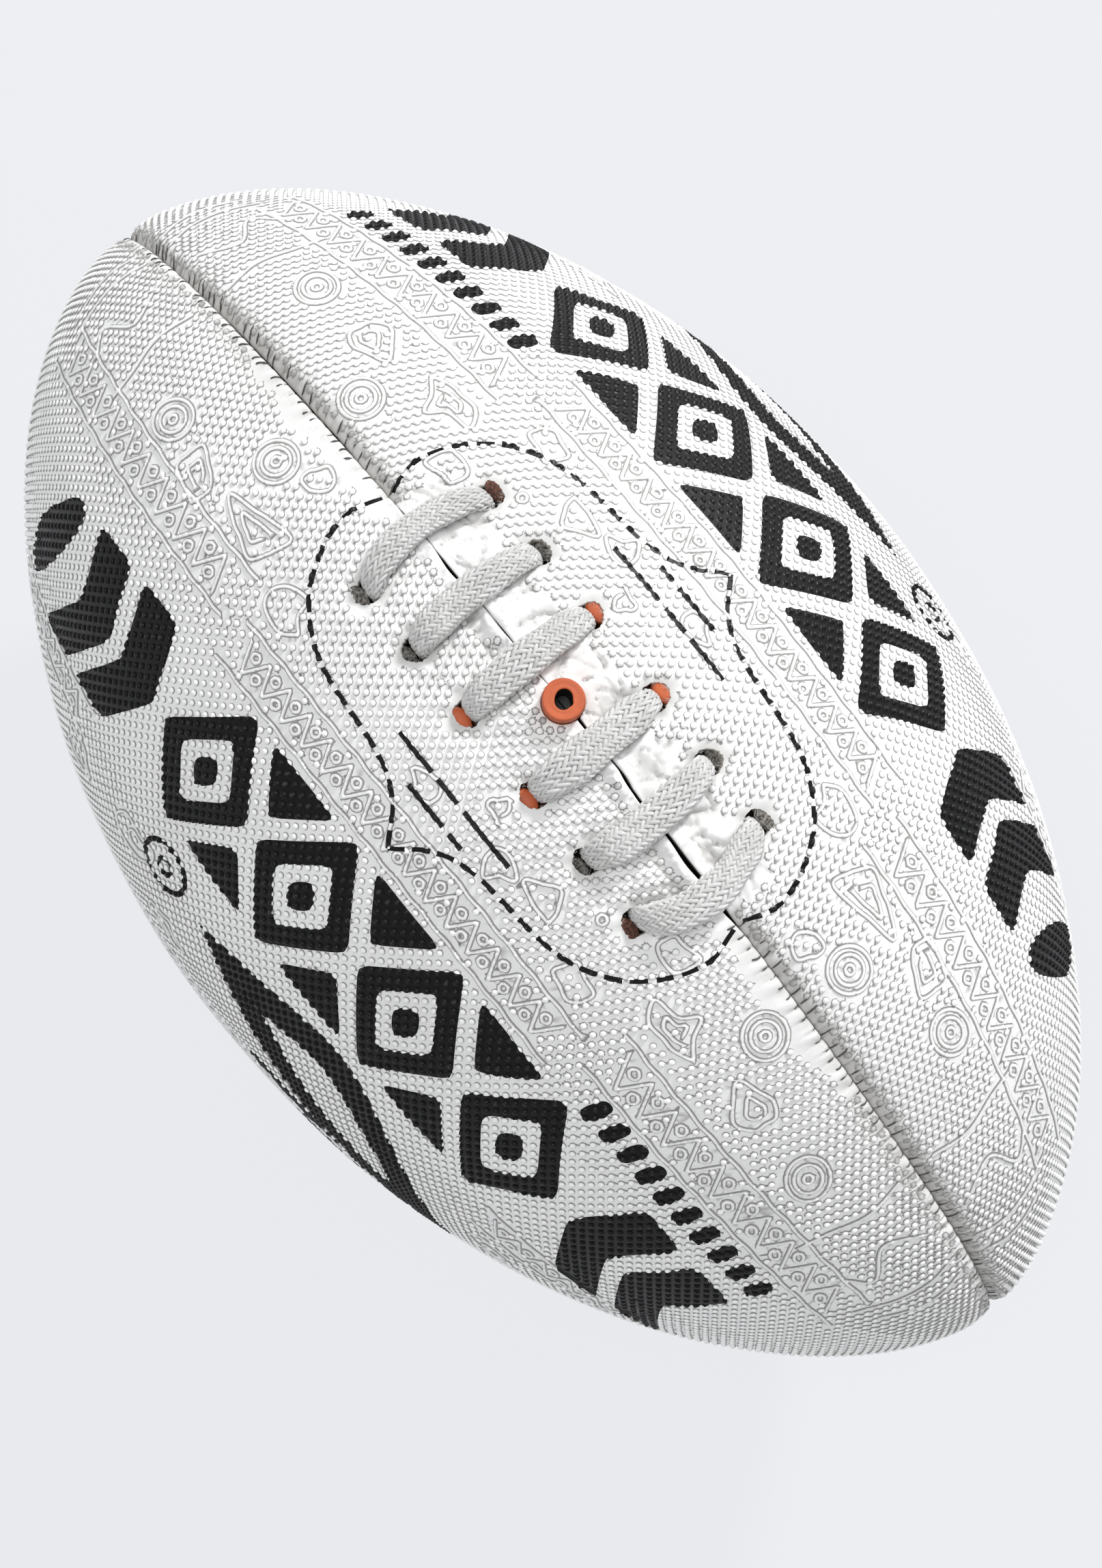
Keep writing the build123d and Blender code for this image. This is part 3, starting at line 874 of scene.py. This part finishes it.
# which way the width of a tube faces
ASLANT, TOWARDS_MINUS_X = np.array([0.3, 0.5, 0.8]), np.array([-1.0, 0, 0])


def build_cover():
    material = cover_material()
    prints, lines = print_shapes(), embossed()
    stitches = Batch()
    for name, middle, laced_low, laced in GORES:
        gore = Gore(name, middle, laced_low, laced)
        gore.build(material, prints + (dashes() if laced else []), lines)
        for tick in gore.thread_shade_ticks():
            stitches.add(*tube(tick, *frames(tick, ASLANT)[1:], SHADE_THREAD_RADIUS, SHADE_THREAD_RADIUS, 5))
    # painted shade: the ticks use a dark copy of the thread material, standing in for shade in the pucker
    # creases
    stitches.piece("seam_thread_painted_shade", thread_material("thread_painted_shade", (0.05, 0.048, 0.045)), slot="thread")


# ---------------------------------------------------------------- lace

LACE_HALF_WIDTH, LACE_HALF_THICKNESS = 3.45, 1.3
STRANDS, BRAID_LEAD, WEAVE = 16, 21.0, 0.19
STRAND_CORNERS, STRAND_HALF_HEIGHT = 5, 0.21
CORE_HALF_WIDTH, CORE_HALF_HEIGHT = 1.55, 0.85
BAR_FULLNESS = (0.8, 0.9, 0.98, 1.02, 0.98, 0.94)
LEG_ARC, LEG_BOTTOM = 12.5, -6.8
LACE_BOW = (-2.4, -0.7, -0.35, 0.35, 1.2, 3.7)


def lace_material():
    """White polyester braid: each strand a bundle of fine filaments."""
    n = Nodes("lace_white", IOR=1.5, Sheen_Weight=0.25, Sheen_Roughness=0.4)
    across, tone = n.attribute("across"), n.attribute("tone")
    filament = n.maths("SINE", n.times(across, 44.0))
    grime = n.noise(160.0)
    white = n.mix(tone, (0.54, 0.54, 0.527), (0.81, 0.81, 0.797))
    white = n.mix(n.ramp(grime, 0.5, 0.8, 0.0, 0.4), white, (0.50, 0.49, 0.465))
    rough = n.ramp(n.noise(1500.0, 2.0), 0.3, 0.7, 0.32, 0.5)
    height = n.plus(filament, n.times(n.noise(3200.0, 2.0), 1.2))
    return n.link(Base_Color=white, Roughness=rough, Normal=n.bump(height, 0.45, 0.00006))


def tube(line, side, up, half_side, half_up, count):
    """Points and triangles of a closed tube of oval section along a line."""
    turn = np.linspace(0, 2 * math.pi, count, endpoint=False)
    half_side, half_up = np.broadcast_to(half_side, len(line)), np.broadcast_to(half_up, len(line))
    rings = (line[:, None] + side[:, None] * (half_side[:, None] * np.cos(turn))[..., None]
             + up[:, None] * (half_up[:, None] * np.sin(turn))[..., None])
    points = np.concatenate([rings.reshape(-1, 3), line[:1], line[-1:]])
    k = np.arange(count)
    after = (k + 1) % count
    start = (np.arange(len(line) - 1) * count)[:, None]
    quads = np.concatenate([
        np.stack([start + k, start + after, start + count + k], -1).reshape(-1, 3),
        np.stack([start + after, start + count + after, start + count + k], -1).reshape(-1, 3)])
    last = (len(line) - 1) * count
    caps = np.concatenate([
        np.stack([after, k, np.full(count, last + count)], 1),
        np.stack([last + k, last + after, np.full(count, last + count + 1)], 1)])
    return points, np.concatenate([quads, caps])


def frames(line, side_hint):
    """Unit vectors along a line, across it near the hint, and outward."""
    along = unit(np.gradient(line, axis=0))
    side = unit(side_hint - along * np.sum(side_hint * along, axis=1)[:, None])
    return along, side, np.cross(along, side)


def section_table(ratio):
    """A rounded flat section of half-width 1: the share of its perimeter gone round, x and y."""
    turn = np.linspace(0, 2 * math.pi, 1441)
    x = np.sign(np.cos(turn)) * np.abs(np.cos(turn)) ** 0.8
    y = np.sign(np.sin(turn)) * np.abs(np.sin(turn)) ** 0.8 * ratio
    run = np.concatenate([[0], np.cumsum(np.hypot(np.diff(x), np.diff(y)))])
    return run / run[-1], x, y


# one visible lace bar, from the -Y leg over the seam to the +Y leg: distance round the ball, height
BAR_PATH = ((-LEG_ARC - 0.1, LEG_BOTTOM), (-LEG_ARC - 0.1, -4.0), (-LEG_ARC, -1.6), (-11.4, 0.7),
            (-8.6, 1.85), (-3.5, 2.25), (1.5, 2.3), (6.0, 2.1), (9.6, 1.55), (11.7, 0.3),
            (LEG_ARC, -1.8), (LEG_ARC + 0.1, -4.0), (LEG_ARC + 0.1, LEG_BOTTOM))
LEG_HALF_THICKNESS = 1.58


def bar_line(index, step):
    """The middle line of one lace bar, the distance along it, and its half-width and half-thickness."""
    x0, bow = HOLE_X[index], LACE_BOW[index]
    lean = -0.25 * bow
    w, h = curve_through(BAR_PATH, 24).T
    share = np.clip(w / LEG_ARC, -1, 1)
    x = x0 + bow * (1 - share**2) + lean * share * (1 - share**2)
    points = place(s_at(x), w / radius_at(s_at(x)), h)
    run = distance_run(points)
    at = np.arange(0, run[-1], step)
    line = np.stack([np.interp(at, run, points[:, k]) for k in range(3)], 1)
    w_at, h_at = np.interp(at, run, w), np.interp(at, run, h)
    wide = smooth((LEG_ARC + 1.2 - np.abs(w_at)) / 6.5) * smooth((h_at + 2.6) / 3.4)
    plus = smooth((w_at + 2) / 8)
    leg_width = 2.4 - 0.35 * plus
    full = LACE_HALF_WIDTH * BAR_FULLNESS[index] * (1 - 0.09 * plus) + 0.14 * np.sin(at * 0.55 + 1.9 * index)
    half_width = leg_width + (full - leg_width) * wide
    half_thickness = LEG_HALF_THICKNESS + (LACE_HALF_THICKNESS - LEG_HALF_THICKNESS) * wide
    return line, at, half_width, half_thickness


def build_lace():
    ratio = LACE_HALF_THICKNESS / LACE_HALF_WIDTH
    share_table, x_table, y_table = section_table(ratio)
    corners = np.cos(np.arange(STRAND_CORNERS) * 2 * math.pi / STRAND_CORNERS)
    batch = Batch()
    bars = []

    def on_section(share):
        return np.interp(share, share_table, x_table), np.interp(share, share_table, y_table) / ratio

    for index in range(6):
        line, at, half_width, half_thickness = bar_line(index, 0.45)
        bars.append(line)
        along, side, up = frames(line, TOWARDS_MINUS_X)
        phase = rng.uniform(0, 1)
        lead = BRAID_LEAD * rng.uniform(0.92, 1.08)
        travel = at + 0.9 * np.sin(at * 0.31 + 2.1 * index)
        swirl = 0.012 * np.sin(at * 0.42 + index)
        for strand in range(2 * STRANDS):
            way = 1 if strand < STRANDS else -1
            number = strand % STRANDS
            share = (number / STRANDS + phase + swirl + way * travel / lead + rng.uniform(-0.004, 0.004)) % 1
            pattern = 2 * number + way * 2 * STRANDS * travel / lead
            lift = WEAVE * way * np.cos(math.pi / 2 * (pattern - 0.5))
            x, y = on_section(share)
            x_ahead, y_ahead = on_section((share + 0.004) % 1)
            tangent = (side * ((x_ahead - x) * half_width)[:, None]
                       + up * ((y_ahead - y) * half_thickness)[:, None])
            normal = np.cross(unit(tangent), along)
            wobble = 0.04 * np.sin(at * 2.3 + strand * 1.7)
            centre = (line + side * (x * half_width)[:, None] + up * (y * half_thickness)[:, None]
                      + normal * (lift + wobble - 0.2)[:, None])
            strand_along = unit(np.gradient(centre, axis=0))
            strand_side = unit(np.cross(normal, strand_along))
            pitch = 2 * (half_width + half_thickness) * 1.56 / STRANDS * 0.8
            strand_mesh = tube(centre, strand_side, np.cross(strand_along, strand_side),
                               pitch * rng.uniform(0.5, 0.6), STRAND_HALF_HEIGHT, STRAND_CORNERS)
            batch.add(*strand_mesh, across=np.concatenate([np.tile(corners, len(centre)), [0, 0]]),
                      tone=rng.uniform(0.35, 1.0))
    route = inner_route(bars)
    core = tube(route, *frames(route, TOWARDS_MINUS_X)[1:], CORE_HALF_WIDTH, CORE_HALF_HEIGHT, 14)
    batch.add(*core, across=0, tone=0.3)
    batch.piece("lace_braided", lace_material(), replaces=["lace"], slot="lace")


def inner_route(bars):
    """The core's line: up and over every bar in turn, and along the inner side of the cover between them."""
    forward = bars[:3] + [bar[::-1] for bar in bars[3:]]
    parts = []
    for bar in forward:
        if parts:
            a, b = parts[-1][-1], bar[0]
            t = np.linspace(0, 1, 16)[1:-1, None]
            dip = np.sin(math.pi * t) * 0.8
            link = a + (b - a) * t
            parts.append(link - unit(link * (0, 1, 1)) * dip)
        parts.append(bar)
    return np.concatenate(parts)


def build_fray():
    """Loose backing fibres round the lace holes, most of them on the side away from the seam."""
    n = Nodes("fray_fibre", IOR=1.5, Roughness=0.7)
    tint = n.mix(n.noise(700.0, 2.0), (0.25, 0.22, 0.18), (0.75, 0.73, 0.69))
    material = n.link(Base_Color=tint, Roughness=n.ramp(n.noise(1500.0, 1.0), 0.3, 0.7, 0.55, 0.8))
    batch = Batch()
    for x in HOLE_X:
        for sign in (-1, 1):
            few = 0.35 if sign < 0 else 1.0
            for _ in range(int((70) * few)):
                turn = rng.uniform(-2.2, 2.2) if sign < 0 else rng.normal(0, 0.8)
                along_s, along_w = math.sin(turn), math.cos(turn)
                s0 = float(s_at(x)) + HOLE_HALF_X * along_s
                w0 = HOLE_ARC + HOLE_HALF_W * along_w
                reach, drop = rng.uniform(0.1, 0.75), rng.uniform(-0.9, 0.45)
                twist = rng.uniform(-1.1, 1.1)
                t = np.linspace(0, 1, 5)
                s = s0 - along_s * reach * t + twist * t * t * along_w
                w = w0 - along_w * reach * t + twist * t * t * along_s
                h = -1.0 + rng.uniform(-0.7, 0.3) + drop * t + 0.8 * t * (1 - t)
                line = place(s, sign * w / radius_at(s), h)
                thickness = rng.uniform(0.02, 0.05) * (1 - 0.6 * t)
                batch.add(*tube(line, *frames(line, ASLANT)[1:], thickness, thickness, 4))
    batch.piece("hole_fray", material, slot="lining")


def mirrored(points, faces, sign):
    """A mesh as it is, or mirrored to the -Y side where sign is -1."""
    return points * (1, sign, 1), faces if sign > 0 else faces[:, ::-1]


def knob(x, arc_at, half_x, half_w, top_depth, foot_z):
    """A soft lump pressed up into a lace hole: its points and triangles."""
    y, z = MID_RADIUS * math.sin(arc_at / MID_RADIUS), MID_RADIUS * math.cos(arc_at / MID_RADIUS)
    crown = [(math.cos(a), z - top_depth - 0.9 + 0.9 * math.sin(a)) for a in np.linspace(0.15, 1.45, 7)]
    shape = [(0, foot_z), (0.8, foot_z), (1.0, foot_z + 0.4), (1.0, z - top_depth - 0.9), *crown,
             (0, z - top_depth)]
    points, faces = lathe(shape, 36, 0.03, 7)
    points[:, :2] *= (half_x, half_w)
    points[:, :2] += (x, y)
    return points, faces


def build_hole_backing():
    """Torn backing cloth that shows in the eight outer lace holes, browner in the end ones."""
    n = Nodes("torn_backing", IOR=1.45, Roughness=0.85)
    fibre = n.ramp(n.noise(1900.0, 4.0), 0.38, 0.66)
    grey = n.mix(fibre, (0.06, 0.054, 0.048), (0.36, 0.345, 0.32))
    brown = n.mix(fibre, (0.05, 0.022, 0.015), (0.17, 0.075, 0.05))
    n.link(Base_Color=n.mix(n.attribute("end_hole"), grey, brown), Roughness=n.ramp(fibre, 0, 1, 0.78, 0.95),
           Normal=n.bump(n.noise(1900.0, 4.0), 0.8, 0.0004))
    batch = Batch()
    for x in (HOLE_X[0], HOLE_X[1], HOLE_X[4], HOLE_X[5]):
        for sign in (-1, 1):
            lump, faces = knob(x, 15.2, 2.35, 1.3, 3.7, 78.6)
            torn = np.abs(np.sin(lump[:, 0] * 3.1 + lump[:, 1]))
            lump[:, 2] -= np.maximum(lump[:, 2] - 78, 0) * 0.18 * torn
            batch.add(*mirrored(lump, faces, sign), end_hole=x * sign < -30)
    batch.piece("hole_backing", n.material, slot="lining")


# ---------------------------------------------------------------- valve and what lies under the cover

def rubber_material(name, dark, light, rough_low, rough_high):
    n = Nodes(name, IOR=1.5)
    cloud, fine = n.noise(140.0, 4.0), n.noise(1700.0)
    colour = n.mix(n.ramp(cloud, 0.35, 0.7), dark, light)
    dusty = tuple(min(1.0, 1.35 * c + 0.05) for c in light)
    colour = n.mix(n.times(n.ramp(fine, 0.62, 0.8), 0.35), colour, dusty)
    if name == "valve_orange":
        # painted shade: the needle bore below its rim is coloured almost black
        colour = n.mix(n.attribute("deep"), colour, (0.012, 0.008, 0.006))
    height = n.plus(n.noise(2600.0), n.times(n.noise(500.0, 2.0), 0.8))
    return n.link(Base_Color=colour, Roughness=n.ramp(cloud, 0.3, 0.75, rough_low, rough_high),
                  Normal=n.bump(height, 0.3, 0.00012))


def weave_material(name, dark, light, pitch):
    """A plain woven ply: two sets of threads that pass over and under."""
    n = Nodes(name, IOR=1.45, Sheen_Weight=0.15)
    split = n.add("ShaderNodeSeparateXYZ", i0=n.place())
    rate = 2 * math.pi / (pitch * MM)
    around = n.maths("ARCTAN2", split.outputs[1], split.outputs[2])
    warp = n.maths("SINE", n.times(split.outputs[0], rate))
    weft = n.maths("SINE", n.times(around, rate * MID_RADIUS * MM))
    cloth = n.times(warp, weft)
    colour = n.mix(n.ramp(cloth, -0.8, 0.8), dark, light)
    colour = n.mix(n.ramp(n.noise(60.0, 4.0), 0.4, 0.8, 0.0, 0.4), colour, dark)
    return n.link(Base_Color=colour, Roughness=n.ramp(n.noise(900.0, 2.0), 0.3, 0.7, 0.75, 0.92),
                  Normal=n.bump(cloth, 0.6, 0.0002))


def thread_material(name, dark):
    """Waxed twisted thread."""
    n = Nodes(name, IOR=1.48, Sheen_Weight=0.2)
    split = n.add("ShaderNodeSeparateXYZ", i0=n.place())
    slope = n.plus(split.outputs[0], n.plus(split.outputs[1], split.outputs[2]))
    twist = n.maths("SINE", n.times(slope, 2 * math.pi / 0.0005))
    colour = n.mix(n.ramp(twist, -1, 1), dark, tuple(1.7 * c for c in dark))
    return n.link(Base_Color=colour, Roughness=n.ramp(n.noise(1200.0, 2.0), 0.3, 0.7, 0.45, 0.65),
                  Normal=n.bump(twist, 0.5, 0.0001))


def lathe(profile_points, count, rough=0.0, seed=1):
    """Points and triangles of a closed turned form; its outline starts and ends on the axis."""
    local = np.random.default_rng(seed)
    outline = np.asarray(profile_points, float)
    turn = np.linspace(0, 2 * math.pi, count, endpoint=False)
    middle = outline[1:-1]
    uneven = 1 + rough * (np.sin(turn * 2 + 1) + 0.6 * np.sin(3 * turn) + 0.5 * local.standard_normal(count))
    rings = np.stack([middle[:, :1] * np.cos(turn) * uneven, middle[:, :1] * np.sin(turn) * uneven,
                      np.broadcast_to(middle[:, 1:], (len(middle), count))], -1)
    points = np.concatenate([rings.reshape(-1, 3), [(0, 0, outline[0, 1])], [(0, 0, outline[-1, 1])]])
    faces = []
    total = len(middle) * count
    for start in range(0, total - count, count):
        for k in range(count):
            a, b = start + k, start + (k + 1) % count
            faces += [(a, b, a + count), (b, b + count, a + count)]
    for k in range(count):
        after = (k + 1) % count
        faces += [(total, after, k), (total - count + k, total - count + after, total + 1)]
    return points, np.array(faces, np.int32)


def arc(cx, cz, radius, start, end, count=6):
    turn = np.radians(np.linspace(start, end, count))
    return [(cx + radius * math.cos(a), cz + radius * math.sin(a)) for a in turn]


VALVE_TOP, FLANGE_LOW, FLANGE_HIGH = 89.5, 73.0, 75.4


def build_valve():
    """The orange rubber valve: a wide flange under the lacing, a stem in the slit, and the needle hole."""
    material = rubber_material("valve_orange", (0.47, 0.09, 0.028), (0.60, 0.135, 0.045), 0.5, 0.72)
    rim = 0.28
    outline = ([(0, FLANGE_LOW)] + arc(20.2, 74.0, 1.0, -90, 90, 7)
               + [(16, 75.2), (8, FLANGE_HIGH)] + arc(5.6, 77.3, 1.9, -90, -180, 6)
               + [(STEM_RADIUS + 0.02, 82), (STEM_RADIUS - 0.02, 85), (STEM_RADIUS + 0.03, 87.4),
                  (STEM_RADIUS, 88.6)]
               + arc(STEM_RADIUS - rim, VALVE_TOP - rim, rim, 0, 90, 5)
               + [(3.34, VALVE_TOP), (2.75, VALVE_TOP - 0.02), (2.6, VALVE_TOP - 0.07),
                  (2.4, VALVE_TOP - 0.02), (2.0, VALVE_TOP)]
               + arc(1.9, VALVE_TOP - 0.2, 0.2, 90, 180, 4)
               + [(1.68, VALVE_TOP - 0.42), (1.6, 88.4), (1.55, 86), (1.52, 82.5), (2.42, 82.4), (2.42, 76.4),
                  (0, 76.4)])
    points, faces = lathe(outline, 96, 0.006, 3)
    bore = (np.hypot(points[:, 0], points[:, 1]) < 2.05) & (points[:, 2] > 82)
    turn = np.arctan2(points[:, 1], points[:, 0])
    squeeze = 1 + 0.09 * np.cos(2 * (turn - 2.2)) + 0.12 * bell((turn - 0.4) / 0.3)
    points[bore, :2] *= squeeze[bore, None]
    batch = Batch()
    # the bore's walls below the rim carry the painted shade
    batch.add(points, faces, deep=bore & (points[:, 2] < VALVE_TOP - 0.35))
    for x in (HOLE_X[2], HOLE_X[3]):
        for sign in (-1, 1):
            batch.add(*mirrored(*knob(x, 15.1, 2.45, 1.5, 1.2, 74.2), sign), deep=0)
    batch.piece("valve_rubber", material, replaces=["valve_body"], slot="valve")


def dress_hidden():
    """Materials for the CAD nodes that keep their shape."""
    looks = {
        "ply_outer": weave_material("ply_outer_cotton", (0.42, 0.38, 0.31), (0.66, 0.61, 0.52), 0.9),
        "ply_inner": weave_material("ply_inner_cotton", (0.34, 0.33, 0.31), (0.58, 0.56, 0.52), 1.1),
        "lace_patch": weave_material("patch_canvas", (0.10, 0.095, 0.09), (0.24, 0.22, 0.2), 0.8),
        "bladder": rubber_material("bladder_rubber", (0.025, 0.017, 0.013), (0.07, 0.045, 0.035), 0.45, 0.7),
        "valve_core": rubber_material("valve_core_rubber", (0.008,) * 3, (0.02, 0.019, 0.018), 0.4, 0.65),
        "stitches": thread_material("thread_waxed", (0.42, 0.41, 0.39))}
    for name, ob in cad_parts.items():
        for start, material in looks.items():
            if name.startswith(start):
                ob.data.materials.clear()
                ob.data.materials.append(material)


# ---------------------------------------------------------------- stage

def linked(name, data):
    ob = bpy.data.objects.new(name, data)
    bpy.context.scene.collection.objects.link(ob)
    return ob


def look_from():
    """The camera, above the lacing and a little towards the right gore. Returns its right, up and back."""
    right, up = Vector((0.62935, 0.77635, 0.03449)), -Vector((0.77402, -0.62227, -0.11692))
    back = right.cross(up)
    camera = bpy.data.cameras.new("camera")
    camera.lens, camera.sensor_width, camera.clip_start = 48.47, 36.0, 0.01
    ob = linked("camera", camera)
    turned = Matrix((right, up, back)).transposed().to_4x4()
    ob.matrix_world = Matrix.Translation(Vector((0.03454, -0.04646, 0.44247))) @ turned
    bpy.context.scene.camera = ob
    return right, up, back


LIGHT_DISTANCE, FLOOR_HALF_SIZE = 2.5, 3000.0
WORLD_STRENGTH, FLOOR_GLOW = 0.48, 0.785


def stage():
    right, up, back = look_from()
    for name, way, size, strength in (("key", up * 0.8 + right * 0.5 + back * 0.5, 0.3, 0.80),
                                      ("fill", right * -0.15 + up * 0.1 + back, 1.2, 0.39)):
        light = bpy.data.lights.new(name, "AREA")
        light.size, light.energy = size, strength * (math.pi * LIGHT_DISTANCE) ** 2
        ob = linked(name, light)
        ob.location = way.normalized() * LIGHT_DISTANCE
        ob.rotation_euler = (-way).to_track_quat("-Z", "Y").to_euler()
    bpy.context.scene.view_settings.view_transform = "Standard"
    world = bpy.data.worlds.new("studio")
    world.use_nodes = True
    background = world.node_tree.nodes["Background"]
    background.inputs["Color"].default_value = (0.93, 0.94, 0.96, 1)
    background.inputs["Strength"].default_value = WORLD_STRENGTH
    bpy.context.scene.world = world
    n = Nodes("floor_paint", Roughness=0.9, Specular_IOR_Level=0.1, Emission_Color=(0.96, 0.97, 1.0, 1.0),
              Emission_Strength=FLOOR_GLOW)
    n.link(Base_Color=n.mix(n.noise(3.0), (0.07, 0.071, 0.073), (0.074, 0.075, 0.077)))
    floor_z = cad_box[0][2] / MM - 0.4
    corners = [(x * FLOOR_HALF_SIZE, y * FLOOR_HALF_SIZE, floor_z)
               for x, y in ((-1, -1), (1, -1), (1, 1), (-1, 1))]
    linked("floor", mesh_of("floor", corners, [(0, 1, 2), (0, 2, 3)], n.material, False))


stage()
dress_hidden()
build_cover()
build_lace()
build_fray()
build_hole_backing()
build_valve()
